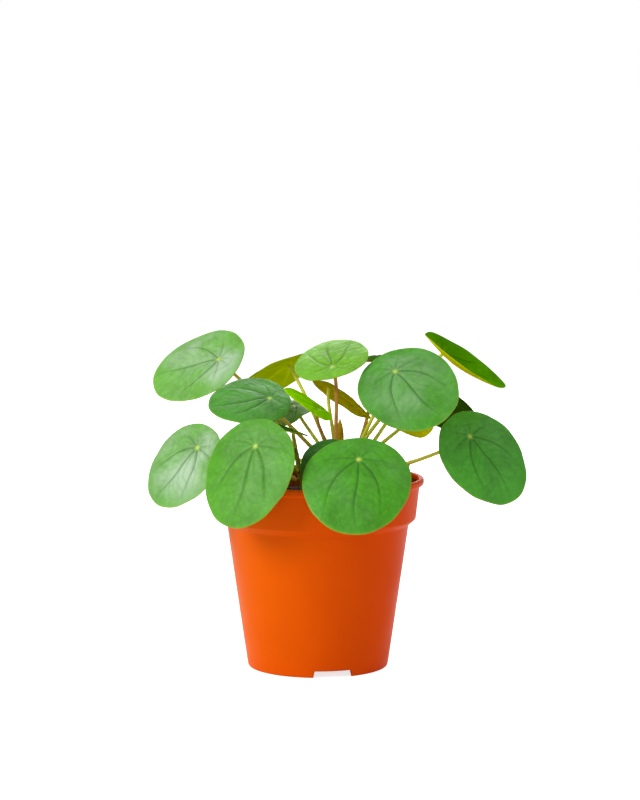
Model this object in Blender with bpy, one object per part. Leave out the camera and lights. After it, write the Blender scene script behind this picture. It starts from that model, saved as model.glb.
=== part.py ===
"""Pilea in a plastic nursery pot: pot, soil, two stems, and leaves of a blade and a stalk each.

Metres, +Z up. The origin is the centre of the pot's underside, where it stands.
The pot opens upwards, and the crown leans towards +X.
"""
import math
from collections import namedtuple

import bmesh
import bpy
import numpy as np
from mathutils import Euler, Matrix, Vector

MM = 0.001
GAP = 0.0003  # clearance between pieces that touch

# Pot: a tapered body, a wider band above it, and a rolled lip.
POT_HEIGHT = 0.107
LIP_RADIUS = 0.060
LIP_DEPTH = 0.0042
BAND_TOP_RADIUS = 0.0576
BAND_BOTTOM_RADIUS = 0.0554
BAND_BOTTOM_Z = 0.0838
LEDGE_DROP = 0.0030
BODY_TOP_RADIUS = 0.0516
FOOT_RADIUS = 0.0397
FOOT_ROUND = 0.0012
WALL = 0.0012
POT_SEGMENTS = 48

# Underside: a raised floor, a foot skirt with three notches, a hub and drain holes.
FLOOR_LIFT = 0.0040
SKIRT_WALL = 0.0016
NOTCH_COUNT = 3
NOTCH_CENTRE = -77.0  # degrees from +X, just right of the front
NOTCH_WIDTH = 31.0  # degrees of the foot's circle
NOTCH_RETURN = 0.010  # how far the notch's sides run inwards
HUB_RADIUS = 0.009
DRAIN_RADIUS = 0.004
DRAIN_CIRCLE = 0.026
DRAIN_COUNT = 6
NOTCH_STEPS = 6
HUB_SIDES = 24
DRAIN_SIDES = 12

# Soil: fills the pot to about a centimetre below the lip.
SOIL_EDGE_Z = 0.0950
SOIL_CROWN = 0.0020
SOIL_LUMP = 0.0007
SOIL_SEGMENTS = 48
SOIL_RINGS = 5

# Stems.
Stem = namedtuple("Stem", "foot top foot_radius top_radius")
STEMS = {
    "main": Stem((0.0120, 0.0020, 0.0800), (0.0125, 0.0000, 0.1220), 0.0052, 0.0042),
    "side": Stem((-0.0050, -0.0060, 0.0820), (-0.0135, -0.0130, 0.1300), 0.0024, 0.0018),
}
STEM_SIDES = 12

# Blades: thin domed shells. The stalk meets a blade a quarter of its length from the base.
BLADE_THICKNESS = 0.0010
RIM_THICKNESS = 0.0006
JOINT_SHARE = 0.24
JOINT_SLOPE = 0.12  # the blade's slope at the joint, from its dome
EGG = 0.09  # how much broader the base half is than the tip half
BLADE_POINTS = 22
BLADE_RINGS = 3
STALK_RADIUS = 0.00095
YOUNG_STALK_RADIUS = 0.00065
STALK_SIDES = 6
STALK_STEPS = 8

# One row a leaf. joint is where the stalk meets the blade; heading, droop and roll
# turn the blade, in degrees; length, width and dome are its size; stem, height and
# rise say which stem the stalk leaves, how high up, and how steeply.
Leaf = namedtuple("Leaf", "name joint heading droop roll length width dome stem height rise")
LEAVES = (
    Leaf("upper_left", (-57, 24, 172), 157, 14, -42, 60, 56, 2.5, "main", 112, 45),
    Leaf("left_glossy", (-27, -12, 153), 190, 5, -30, 47, 44, 2.0, "side", 124, 65),
    Leaf("lower_left", (-67, -22, 126), 180, 49, -43, 53, 49, 2.5, "side", 106, 35),
    Leaf("front_left", (-34, -50, 130), 220, 66, -16, 63, 56, 3.0, "side", 112, 35),
    Leaf("front_centre", (22, -60, 124), 260, 52, -5, 61, 59, 4.5, "main", 98, 22),
    Leaf("right", (86, 0, 130), 345, 51, 35, 60, 57, 3.0, "main", 106, 12),
    Leaf("right_centre", (43, -15, 168), 316, 38, 34, 58, 56, 2.5, "main", 114, 60),
    Leaf("top_right", (71.5, 18, 176), 10, 32, 14, 56, 50, -4.8, "main", 115, 56),
    Leaf("top_centre", (8, -10, 170.5), 95, -24, -15, 44, 43, 2.0, "main", 116, 85),
    Leaf("back_left", (-17, 37, 168), 150, 31, 12, 58, 40, 2.5, "main", 113, 60),
    Leaf("young_centre", (1, -32, 148.5), 150, -31, 7, 32, 25, 2.0, "main", 108, 70),
    Leaf("behind_glossy", (-14, 44, 144), 230, 25, 0, 34, 30, 2.0, "main", 109, 45),
    Leaf("edge_on", (-13, -24, 136), 165, -15, 8, 32, 18, 1.5, "side", 126, 60),
    Leaf("under_centre", (7, 11, 157), 8, 36, -13, 41, 30, 2.5, "main", 118, 84),
    Leaf("far_centre", (36, 36, 173), 60, 8, 0, 46, 34, 4.0, "main", 110, 35),
    Leaf("far_right", (67.5, 35, 149), 20, 40, -25, 46, 38, 2.5, "main", 108, 38),
    Leaf("under_right", (50, -5, 152), 300, 55, 0, 34, 32, 2.0, "main", 110, 47),
    Leaf("small_front", (6, -36, 125), 250, 60, 0, 34, 31, 2.0, "main", 103, 40),
    Leaf("low_back_left", (-32, 44, 120), 135, 50, 0, 50, 46, 2.5, "main", 103, 40),
    Leaf("low_back", (16, 62, 114), 88, 48, 0, 52, 48, 2.5, "main", 101, 30),
    Leaf("low_back_right", (36, 42, 114), 50, 55, 0, 36, 33, 2.5, "main", 99, 30),
)
YOUNG = ("young_centre", "small_front")

# Small pieces of the crown and the soil.
SHEATH_HEIGHT = 0.018
SHEATH_WIDTH = 0.0050
SHEATH_DEPTH = 0.0026
STUB_FOOT = (0.0490, 0.0050, 0.0962)
STUB_TIP = (0.0525, 0.0050, 0.1160)
STUB_RADIUS = 0.0008

POT_ORANGE = (0.80, 0.10, 0.004)
SOIL_BROWN = (0.018, 0.010, 0.006)
LEAF_GREEN = (0.10, 0.30, 0.035)
YOUNG_GREEN = (0.22, 0.45, 0.030)
STALK_GREEN = (0.40, 0.47, 0.045)
STEM_BROWN = (0.20, 0.14, 0.035)
SHEATH_OLIVE = (0.32, 0.21, 0.010)
DRY_GREY = (0.50, 0.42, 0.38)


def clear_scene():
    for item in list(bpy.data.objects):
        bpy.data.objects.remove(item)


def make_material(name, colour, roughness):
    material = bpy.data.materials.new(name)
    material.use_nodes = True
    shader = material.node_tree.nodes["Principled BSDF"]
    shader.inputs["Base Color"].default_value = (*colour, 1.0)
    shader.inputs["Roughness"].default_value = roughness
    shader.inputs["Metallic"].default_value = 0.0
    return material


def add_object(name, shape, material, location=(0, 0, 0), rotation=(0, 0, 0)):
    """Turn a bmesh into a named, placed and shaded object."""
    bmesh.ops.recalc_face_normals(shape, faces=shape.faces)
    mesh = bpy.data.meshes.new(name)
    shape.to_mesh(mesh)
    shape.free()
    mesh.materials.append(material)
    mesh.shade_smooth()
    mesh.set_sharp_from_angle(angle=math.radians(40))
    item = bpy.data.objects.new(name, mesh)
    item.location = location
    item.rotation_euler = rotation
    bpy.context.scene.collection.objects.link(item)
    return item


def close_rings(shape, rings):
    """Bridge each ring of vertices to the next one, and cap the first and last with a face."""
    for lower, upper in zip(rings, rings[1:]):
        count = len(lower)
        for i in range(count):
            j = (i + 1) % count
            shape.faces.new((lower[i], lower[j], upper[j], upper[i]))
    shape.faces.new(rings[0])
    shape.faces.new(rings[-1])


def turned_body(profile, segments):
    """Turn a profile of (radius, z) about Z; its ends lie off the axis and are capped."""
    shape = bmesh.new()
    turns = [2 * math.pi * k / segments for k in range(segments)]
    rings = []
    for radius, z in profile:
        ring = [shape.verts.new((radius * math.cos(a), radius * math.sin(a), z)) for a in turns]
        rings.append(ring)
    close_rings(shape, rings)
    return shape


def body_radius(z):
    """Outer radius of the tapered body at height z."""
    body_top_z = BAND_BOTTOM_Z - LEDGE_DROP
    return FOOT_RADIUS + (BODY_TOP_RADIUS - FOOT_RADIUS) * z / body_top_z


def outer_profile():
    """Outer profile of the pot from inside its foot skirt up to the top of the lip."""
    band_top_z = POT_HEIGHT - LIP_DEPTH
    lip_mid_z = POT_HEIGHT - LIP_DEPTH / 2
    return [
        (FOOT_RADIUS - SKIRT_WALL, FLOOR_LIFT),
        (FOOT_RADIUS - SKIRT_WALL, 0.0),
        (FOOT_RADIUS - FOOT_ROUND, 0.0),
        (body_radius(FOOT_ROUND), FOOT_ROUND),
        (body_radius(POT_HEIGHT / 3), POT_HEIGHT / 3),
        (BODY_TOP_RADIUS, BAND_BOTTOM_Z - LEDGE_DROP),
        (BAND_BOTTOM_RADIUS, BAND_BOTTOM_Z),
        (BAND_TOP_RADIUS, band_top_z),
        (LIP_RADIUS - 0.0008, band_top_z + 0.0004),
        (LIP_RADIUS, lip_mid_z),
        (LIP_RADIUS - 0.0006, POT_HEIGHT - 0.0006),
        (LIP_RADIUS - 0.0016, POT_HEIGHT),
    ]


def inner_profile():
    """Inner profile of the pot from the lip's mouth down to the floor."""
    band_top_z = POT_HEIGHT - LIP_DEPTH
    floor_z = FLOOR_LIFT + WALL
    return [
        (BAND_TOP_RADIUS - WALL + 0.0006, POT_HEIGHT - 0.0008),
        (BAND_TOP_RADIUS - WALL, band_top_z),
        (BAND_BOTTOM_RADIUS - WALL, BAND_BOTTOM_Z + WALL / 2),
        (BODY_TOP_RADIUS - WALL, BAND_BOTTOM_Z - LEDGE_DROP + WALL / 2),
        (body_radius(POT_HEIGHT / 3) - WALL, POT_HEIGHT / 3),
        (body_radius(floor_z) - WALL, floor_z),
    ]


def block_shape(low, high, turn):
    """A block between two corners, turned about Z."""
    size = Vector(high) - Vector(low)
    middle = (Vector(high) + Vector(low)) / 2
    shape = bmesh.new()
    place = Matrix.Rotation(turn, 4, "Z") @ Matrix.Translation(middle) @ Matrix.Diagonal((*size, 1))
    bmesh.ops.create_cube(shape, size=1.0, matrix=place)
    return shape


def wedge_shape(start, end, near, far, low, high):
    """A block between two radii and two turns about Z, with its outer side in short chords."""
    turns = np.linspace(start, end, NOTCH_STEPS)
    outline = [(near, turns[0])] + [(far, a) for a in turns] + [(near, turns[-1])]
    shape = bmesh.new()
    rings = []
    for z in (low, high):
        rings.append([shape.verts.new((r * math.cos(a), r * math.sin(a), z)) for r, a in outline])
    close_rings(shape, rings)
    return shape


def apply_boolean(item, cutter, operation):
    """Join or cut a piece with another shape, and remove that shape."""
    modifier = item.modifiers.new(operation.lower(), "BOOLEAN")
    modifier.operation = operation
    modifier.solver = "EXACT"
    modifier.object = cutter
    depsgraph = bpy.context.evaluated_depsgraph_get()
    result = bpy.data.meshes.new_from_object(item.evaluated_get(depsgraph))
    item.modifiers.clear()
    item.data = result
    bpy.data.objects.remove(cutter)


def cylinder_shape(radius, low, high, sides, centre=(0.0, 0.0)):
    shape = bmesh.new()
    place = Matrix.Translation((centre[0], centre[1], (low + high) / 2))
    bmesh.ops.create_cone(
        shape, cap_ends=True, segments=sides, radius1=radius, radius2=radius,
        depth=high - low, matrix=place)
    return shape


def make_pot(material):
    """The pot in one moulding: turned wall and floor, notched foot, ribs, hub and drain holes."""
    profile = [(HUB_RADIUS / 2, FLOOR_LIFT)] + outer_profile() + inner_profile()
    profile += [(HUB_RADIUS / 2, FLOOR_LIFT + WALL)]
    pot = add_object("pot", turned_body(profile, POT_SEGMENTS), material)
    rib_top = FLOOR_LIFT + WALL / 2
    half_notch = math.radians(NOTCH_WIDTH / 2)
    edge = FOOT_RADIUS * math.sin(half_notch)
    rib_end = math.sqrt((FOOT_RADIUS - SKIRT_WALL / 2) ** 2 - (edge + SKIRT_WALL) ** 2)
    for k in range(NOTCH_COUNT):
        turn = math.radians(NOTCH_CENTRE + 360 * k / NOTCH_COUNT)
        for near_edge in (edge, -edge - SKIRT_WALL):
            low = (FOOT_RADIUS - NOTCH_RETURN, near_edge, 0.0)
            high = (rib_end, near_edge + SKIRT_WALL, rib_top)
            rib = add_object("rib", block_shape(low, high, turn), material)
            apply_boolean(pot, rib, "UNION")
        notch = wedge_shape(
            turn - half_notch, turn + half_notch, FOOT_RADIUS - NOTCH_RETURN, FOOT_RADIUS + NOTCH_RETURN,
            -FLOOR_LIFT, FLOOR_LIFT - GAP)
        apply_boolean(pot, add_object("notch", notch, material), "DIFFERENCE")
    hub = add_object("hub", cylinder_shape(HUB_RADIUS, 0.0, rib_top, HUB_SIDES), material)
    apply_boolean(pot, hub, "UNION")
    for k in range(DRAIN_COUNT):
        turn = math.radians(NOTCH_CENTRE + 360 * k / DRAIN_COUNT)
        centre = (DRAIN_CIRCLE * math.cos(turn), DRAIN_CIRCLE * math.sin(turn))
        drill = cylinder_shape(DRAIN_RADIUS, 0.0, FLOOR_LIFT + 2 * WALL, DRAIN_SIDES, centre)
        apply_boolean(pot, add_object("drill", drill, material), "DIFFERENCE")
    return pot


def stem_point(stem, height):
    """Centre and radius of a stem at a height."""
    share = (height - stem.foot[2]) / (stem.top[2] - stem.foot[2])
    centre = Vector(stem.foot).lerp(Vector(stem.top), share)
    radius = stem.foot_radius + (stem.top_radius - stem.foot_radius) * share
    return centre, radius


def make_soil(material):
    """Soil: the inside of the pot less a gap, with a crowned, lumpy top and a socket for each stem."""
    side = [(r - GAP, z) for r, z in reversed(inner_profile()) if z < SOIL_EDGE_Z]
    side[0] = (side[0][0], FLOOR_LIFT + WALL + GAP)
    slope = (BAND_TOP_RADIUS - BAND_BOTTOM_RADIUS) / (POT_HEIGHT - LIP_DEPTH - BAND_BOTTOM_Z)
    edge_radius = BAND_BOTTOM_RADIUS + slope * (SOIL_EDGE_Z - BAND_BOTTOM_Z) - WALL - 2 * GAP
    rng = np.random.default_rng(7)
    shape = bmesh.new()
    turns = [2 * math.pi * k / SOIL_SEGMENTS for k in range(SOIL_SEGMENTS)]
    rings = []
    for radius, z in side:
        rings.append([shape.verts.new((radius * math.cos(a), radius * math.sin(a), z)) for a in turns])
    for k in range(SOIL_RINGS):
        share = 1 - k / SOIL_RINGS
        radius = edge_radius * share
        lumps = rng.normal(0, SOIL_LUMP, SOIL_SEGMENTS) * (k > 0)
        top = SOIL_EDGE_Z + SOIL_CROWN * (1 - share ** 2)
        rings.append([
            shape.verts.new((radius * math.cos(a), radius * math.sin(a), top + lump))
            for a, lump in zip(turns, lumps)])
    close_rings(shape, rings)
    bmesh.ops.triangulate(shape, faces=shape.faces)
    soil = add_object("soil", shape, material)
    for stem in STEMS.values():
        socket = tube_shape(stem_path(stem, GAP, SOIL_EDGE_Z + 0.02),
                            [stem.foot_radius + GAP] * 3, STEM_SIDES)
        apply_boolean(soil, add_object("socket", socket, material), "DIFFERENCE")
    return soil


def stem_path(stem, below, top_z):
    """Points up a stem's line, from a little below its foot to a given height."""
    low, _ = stem_point(stem, stem.foot[2] - below)
    high, _ = stem_point(stem, top_z)
    return [low, low.lerp(high, 0.5), high]


def tube_shape(path, radii, sides):
    """Sweep a polygon along a path without twist; radii are given point by point."""
    points = [Vector(p) for p in path]
    shape = bmesh.new()
    rings = []
    across = None
    for k, point in enumerate(points):
        ahead = points[min(k + 1, len(points) - 1)]
        behind = points[max(k - 1, 0)]
        along = (ahead - behind).normalized()
        if across is None:
            across = along.orthogonal().normalized()
        across = (across - along * across.dot(along)).normalized()
        third = along.cross(across)
        ring = []
        for i in range(sides):
            a = 2 * math.pi * i / sides
            ring.append(shape.verts.new(point + radii[k] * (math.cos(a) * across + math.sin(a) * third)))
        rings.append(ring)
    close_rings(shape, rings)
    return shape


def make_stem(name, stem, material):
    """A stem with slight swellings where old leaves have dropped, rounded at its top."""
    steps = 9
    path = []
    radii = []
    for k in range(steps):
        share = k / (steps - 1)
        height = stem.foot[2] + (stem.top[2] - stem.foot[2]) * share
        centre, radius = stem_point(stem, height)
        path.append(centre)
        radii.append(radius * (1.0 if k % 2 else 0.93))
    radii[-1] *= 0.7
    return add_object(name, tube_shape(path, radii, STEM_SIDES), material)


def blade_turn(leaf):
    """Rotation that turns a flat blade, tip along +X, to its heading, droop and roll."""
    return Euler([math.radians(v) for v in (leaf.roll, leaf.droop, leaf.heading)], "XYZ")


def blade_shape(leaf):
    """A domed shell with an egg-shaped outline.

    The outline is an ellipse whose width shrinks towards the tip. A point at share s of
    the way from the joint to the rim lies dome * (s along, s across) squared below it.
    """
    length = leaf.length * MM
    width = leaf.width * MM
    dome = leaf.dome * MM
    centre = JOINT_SHARE * length
    turns = [2 * math.pi * k / BLADE_POINTS for k in range(BLADE_POINTS)]
    rim = []
    for a in turns:
        along = centre + length / 2 * math.cos(a)
        across = width / 2 * math.sin(a) * (1 - EGG * math.cos(a))
        rim.append((along, across))

    def fall(along, across):
        return dome * (((along - centre) / (length / 2)) ** 2 + (across / (width / 2)) ** 2)

    shape = bmesh.new()
    joint_fall = fall(0.0, 0.0)
    sheets = []
    for side in (0.5, -0.5):
        middle = shape.verts.new((0, 0, side * BLADE_THICKNESS))
        rings = []
        for k in range(1, BLADE_RINGS + 1):
            share = k / BLADE_RINGS
            thickness = BLADE_THICKNESS + (RIM_THICKNESS - BLADE_THICKNESS) * share
            ring = []
            for along, across in rim:
                drop = joint_fall - fall(along * share, across * share)
                ring.append(shape.verts.new((along * share, across * share, drop + side * thickness)))
            rings.append(ring)
        sheets.append((middle, rings))
    for middle, rings in sheets:
        for i in range(BLADE_POINTS):
            j = (i + 1) % BLADE_POINTS
            shape.faces.new((middle, rings[0][i], rings[0][j]))
            for lower, upper in zip(rings, rings[1:]):
                shape.faces.new((lower[i], upper[i], upper[j], lower[j]))
    top_rim = sheets[0][1][-1]
    under_rim = sheets[1][1][-1]
    for i in range(BLADE_POINTS):
        j = (i + 1) % BLADE_POINTS
        shape.faces.new((top_rim[i], under_rim[i], under_rim[j], top_rim[j]))
    bmesh.ops.triangulate(shape, faces=shape.faces)
    return shape


def stalk_path(leaf, radius):
    """A cubic curve from the stem's skin, leaving at its rise, to just under the blade's joint."""
    joint = Vector(leaf.joint) * MM
    normal = blade_turn(leaf).to_matrix() @ Vector((0, 0, 1))
    centre, stem_radius = stem_point(STEMS[leaf.stem], leaf.height * MM)
    outward = Vector((joint.x - centre.x, joint.y - centre.y, 0)).normalized()
    rise = math.radians(leaf.rise)
    leaving = outward * math.cos(rise) + Vector((0, 0, math.sin(rise)))
    start = centre + outward * (stem_radius + GAP + radius * math.sin(rise))
    arriving = (normal * 0.75 + outward * 0.45 + Vector((0, 0, 0.2))).normalized()
    lean = math.sqrt(1 - arriving.dot(normal) ** 2) + JOINT_SLOPE
    end = joint - normal * (BLADE_THICKNESS / 2 + GAP + radius * lean)
    reach = (end - start).length
    second = start + leaving * reach * 0.45
    third = end - arriving * reach * 0.25
    path = []
    for k in range(STALK_STEPS + 1):
        t = k / STALK_STEPS
        s = 1 - t
        path.append(start * s ** 3 + second * 3 * s * s * t + third * 3 * s * t * t + end * t ** 3)
    return path


def make_leaf(leaf, blade_material, stalk_material):
    """A blade, placed by its joint and turn, and the stalk that carries it."""
    location = Vector(leaf.joint) * MM
    add_object(f"blade_{leaf.name}", blade_shape(leaf), blade_material, location, blade_turn(leaf))
    radius = YOUNG_STALK_RADIUS if leaf.name in YOUNG else STALK_RADIUS
    path = stalk_path(leaf, radius)
    radii = [radius * (1.15 - 0.25 * k / STALK_STEPS) for k in range(STALK_STEPS + 1)]
    add_object(f"stalk_{leaf.name}", tube_shape(path, radii, STALK_SIDES), stalk_material)


def make_sheath(material):
    """The pointed sheath of the next leaf, standing on the main stem's top."""
    foot = Vector(STEMS["main"].top) + Vector((0, 0, GAP))
    shape = bmesh.new()
    steps = 6
    sides = 10
    rings = []
    for k in range(steps):
        share = k / (steps - 1)
        swell = math.sin(math.pi * (0.25 + 0.72 * share))
        ring = []
        for i in range(sides):
            a = 2 * math.pi * i / sides
            x = SHEATH_WIDTH / 2 * swell * math.cos(a)
            y = SHEATH_DEPTH / 2 * swell * math.sin(a)
            ring.append(shape.verts.new(foot + Vector((x, y, SHEATH_HEIGHT * share))))
        rings.append(ring)
    close_rings(shape, rings)
    return add_object("leaf_sheath", shape, material)


def make_stub(material):
    """A thin dry stub of an old stalk, standing on the soil near the pot's right side."""
    foot = Vector(STUB_FOOT)
    tip = Vector(STUB_TIP)
    bow = Vector((-0.001, 0, 0))
    path = [foot, foot.lerp(tip, 0.5) + bow, tip]
    radii = [STUB_RADIUS, STUB_RADIUS * 0.8, STUB_RADIUS * 0.5]
    return add_object("dry_stub", tube_shape(path, radii, STALK_SIDES), material)


def main():
    clear_scene()
    make_pot(make_material("pot_plastic", POT_ORANGE, 0.35))
    make_soil(make_material("potting_soil", SOIL_BROWN, 0.95))
    stem_material = make_material("stem_bark", STEM_BROWN, 0.7)
    for name, stem in STEMS.items():
        make_stem(f"{name}_stem", stem, stem_material)
    leaf_material = make_material("leaf_green", LEAF_GREEN, 0.3)
    young_material = make_material("young_leaf_green", YOUNG_GREEN, 0.3)
    stalk_material = make_material("stalk_green", STALK_GREEN, 0.4)
    for leaf in LEAVES:
        blade_material = young_material if leaf.name in YOUNG else leaf_material
        make_leaf(leaf, blade_material, stalk_material)
    make_sheath(make_material("sheath_olive", SHEATH_OLIVE, 0.5))
    make_stub(make_material("dry_stub", DRY_GREY, 0.8))


if __name__ == "__main__":
    main()
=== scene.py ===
"""Looks of a pilea in a plastic nursery pot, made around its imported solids.

Every leaf, stalk and stem is rebuilt as a fine surface on the line or plane of its own solid, so nothing
is placed twice: the frame says where each piece is, and this file says how its surface looks.
"""
from collections import namedtuple

import bpy
import numpy as np
from bpy.props import FloatProperty, FloatVectorProperty, PointerProperty
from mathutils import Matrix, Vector


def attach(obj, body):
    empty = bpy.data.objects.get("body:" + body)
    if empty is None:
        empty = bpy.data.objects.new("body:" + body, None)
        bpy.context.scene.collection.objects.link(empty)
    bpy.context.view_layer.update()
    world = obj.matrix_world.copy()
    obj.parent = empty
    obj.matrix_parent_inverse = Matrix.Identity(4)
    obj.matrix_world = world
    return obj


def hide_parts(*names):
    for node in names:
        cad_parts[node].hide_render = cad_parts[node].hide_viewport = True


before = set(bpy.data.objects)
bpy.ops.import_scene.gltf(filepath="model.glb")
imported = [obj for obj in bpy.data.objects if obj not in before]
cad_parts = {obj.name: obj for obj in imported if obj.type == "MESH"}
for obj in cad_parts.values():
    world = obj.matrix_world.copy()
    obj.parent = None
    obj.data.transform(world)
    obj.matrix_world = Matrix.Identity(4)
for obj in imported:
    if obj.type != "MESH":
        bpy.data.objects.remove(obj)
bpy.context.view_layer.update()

bl_info = {
    "name": "Potted Pilea",
    "version": (1, 0, 0),
    "blender": (4, 5, 0),
    "location": "3D View > Sidebar > Pilea",
    "description": "Builds the fine surfaces of a pilea, its soil and its nursery pot",
    "category": "Add Mesh",
}

BODY = "root"

# Grid sizes of the fine surfaces.
BLADE_SPOKES = 200
BLADE_TOP_RINGS = 46
BLADE_UNDER_RINGS = 12
RIM_RINGS = 4
STALK_SIDES = 14
STALK_RINGS = 48
STALK_SOLID_SIDES = 6
POT_TURNS = 288
SOIL_TURNS = 240
SOIL_RINGS = 70

# Depths and widths on a blade, in metres; each vein has a broad groove and a fine line within it.
BLADE_HALF_THICKNESS = 0.00042
GROOVE_DEPTH = 0.00038
LINE_DEPTH = 0.00014
RIB_DEPTH = 0.00011
PUCKER_DEPTH = 0.00003
WAVE_HEIGHT = 0.0009
DIMPLE_DEPTH = 0.0005
DIMPLE_RADIUS = 0.0022
JOINT_SPOT_RADIUS = 0.00125
RIB_SPACING = 0.135

# Main veins: turn at the joint, how far the turn shifts on the way out, strength, and where each ends.
MAIN_VEINS = (
    (0.0, 0.0, 1.0, 1.0), (0.98, -0.50, 0.95, 0.95), (-0.98, 0.50, 0.95, 0.95),
    (1.75, -0.30, 0.60, 0.8), (-1.75, 0.30, 0.60, 0.8), (2.45, -0.10, 0.50, 0.7),
    (-2.45, 0.10, 0.50, 0.7), (3.10, 0.05, 0.40, 0.7), (0.45, -0.10, 0.30, 0.5), (-0.45, 0.10, 0.30, 0.5),
)

# How thick a stalk is beside its solid, and how far its foot and its blade's end swell.
STALK_FULLNESS = 1.10
FOOT_SWELL = 0.35
JOINT_SWELL = 0.18

# Pot and soil, as their solids are; INSET keeps the fine surfaces within them.
INSET = 0.00005
POT_HEIGHT = 0.107
POT_LIP_RADIUS = 0.060
POT_LIP_DEPTH = 0.0042
POT_BAND_TOP = 0.0576
POT_BAND_RADIUS = 0.0554
POT_BAND_LOW = 0.0838
POT_BODY_RADIUS = 0.0516
POT_BODY_TOP = 0.0808
POT_FOOT_RADIUS = 0.0397
POT_FLOOR = 0.004
POT_WALL = 0.0012
POT_HUB_RADIUS = 0.0085
NOTCH_COUNT = 3
NOTCH_CENTRE = np.radians(-77.0)
NOTCH_HALF = np.radians(15.5)
SOIL_EDGE = 0.0948
SOIL_CROWN = 0.0020
SOIL_GAP = 0.0003
SOIL_SIDE_HEIGHTS = (0.0935, 0.0845, 0.0805, 0.036)
SOIL_SIDE_RADII = (0.0537, 0.0498, 0.0438)
CRUMB_COUNT = 900
CRUMB_REACH = 0.0525

# Lamps: name, place, the height on the Z axis that each faces, size and power.
LAMPS = (
    ("key", (-1.3, -0.9, 1.1), 0.10, 0.8, 19.0),
    ("fill", (1.6, -1.2, 0.6), 0.10, 1.4, 1.5),
    ("back", (0.2, 1.5, 0.9), 0.14, 1.2, 16.0),
)

# Looks of single leaves, in screen colours: top and under are the colours of the two skins, the third
# value is how far a painted sheen, a pale grey-green reflection, covers the top, and gloss is the
# strength of its highlights.
LeafLook = namedtuple("LeafLook", "top under bloom gloss", defaults=((176, 182, 4), 0.0, 0.18))
LEAF_LOOKS = {
    "upper_left": LeafLook((108, 184, 50), bloom=0.80),
    "left_glossy": LeafLook((70, 158, 22), bloom=0.10, gloss=0.4),
    "lower_left": LeafLook((104, 176, 58), bloom=0.82),
    "front_left": LeafLook((88, 166, 34), bloom=0.10),
    "front_centre": LeafLook((76, 164, 20), bloom=0.10, gloss=0.25),
    "right": LeafLook((80, 172, 46), bloom=0.06),
    "right_centre": LeafLook((82, 168, 36), bloom=0.30),
    "top_right": LeafLook((86, 160, 2), (226, 224, 1), gloss=0.0),
    "top_centre": LeafLook((124, 194, 44), bloom=0.04),
    "back_left": LeafLook((90, 140, 20), (208, 232, 0), gloss=0.0),
    "young_centre": LeafLook((138, 216, 0), gloss=0.0),
    "behind_glossy": LeafLook((74, 132, 44), bloom=0.2),
    # Painted shade: this leaf's top is a darker green for the shade it lies in.
    "edge_on": LeafLook((60, 110, 16), gloss=0.0),
    "under_centre": LeafLook((96, 120, 4), (206, 196, 1), gloss=0.0),
    "far_centre": LeafLook((70, 124, 40), (120, 120, 10), gloss=0.0),
    # Painted shade: both skins of this leaf are a dark green for the shade it lies in.
    "far_right": LeafLook((50, 92, 12), (50, 92, 8), gloss=0.0),
    # Painted light: this leaf's skin is golden for light shining through it.
    "under_right": LeafLook((222, 218, 2), gloss=0.0),
    # Painted shade: this leaf's top is a darker green for the shade it lies in.
    "small_front": LeafLook((56, 122, 34)),
}
PLAIN_LEAF = LeafLook((84, 146, 34))

# Stalks: flush is how orange-brown a stalk is, from 0, green, to 1.
STALK_FLUSH = {
    "top_centre": 0.85,
    "young_centre": 0.95,
    "under_centre": 0.05,
    "back_left": 0.15,
    "upper_left": 0.35,
    "far_centre": 0.75,
    "right": 0.25,
    "lower_left": 0.65,
}
PLAIN_FLUSH = 0.08


# ---------------------------------------------------------------- surfaces


def leaf_names():
    """Names of the leaves, from the frame's blade nodes."""
    return sorted(name[len("blade_"):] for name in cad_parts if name.startswith("blade_"))


def solid_points(node):
    """The distinct vertices of a node's solid, in metres, as rows."""
    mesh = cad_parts[node].data
    flat = np.zeros(len(mesh.vertices) * 3)
    mesh.vertices.foreach_get("co", flat)
    return np.unique(flat.reshape(-1, 3).round(6), axis=0)


def grid_faces(rows, columns):
    """Quads of a grid whose columns close on themselves; row 0 is the first."""
    row, column = np.meshgrid(np.arange(rows - 1), np.arange(columns), indexing="ij")
    after = (column + 1) % columns
    corners = [row * columns + column, row * columns + after,
               (row + 1) * columns + after, (row + 1) * columns + column]
    return np.stack(corners, axis=-1).reshape(-1, 4)


def add_piece(name, points, quads, triangles=None):
    """A smooth-shaded mesh object from arrays of points, quads and triangles, linked to the scene."""
    mesh = bpy.data.meshes.new(name)
    faces = quads.tolist()
    if triangles is not None:
        faces += triangles.tolist()
    mesh.from_pydata(points.tolist(), [], faces)
    mesh.update()
    mesh.shade_smooth()
    piece = bpy.data.objects.new(name, mesh)
    bpy.context.scene.collection.objects.link(piece)
    return piece


def closed_form(name, rings, first, last):
    """A closed surface through rings of points, with a fan from each end ring to a point."""
    rows, columns, _ = rings.shape
    points = np.concatenate([rings.reshape(-1, 3), [first, last]])
    count = rows * columns
    here = np.arange(columns)
    after = (here + 1) % columns
    start_fan = np.stack([after, here, np.full(columns, count)], axis=1)
    last_ring = count - columns
    end_fan = np.stack([last_ring + here, last_ring + after, np.full(columns, count + 1)], axis=1)
    return add_piece(name, points, grid_faces(rows, columns), np.concatenate([start_fan, end_fan]))


def set_values(piece, name, values):
    """Store one number a vertex as an attribute that materials can read."""
    layer = piece.data.attributes.new(name, "FLOAT", "POINT")
    layer.data.foreach_set("value", np.asarray(values, dtype=np.float32))


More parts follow.
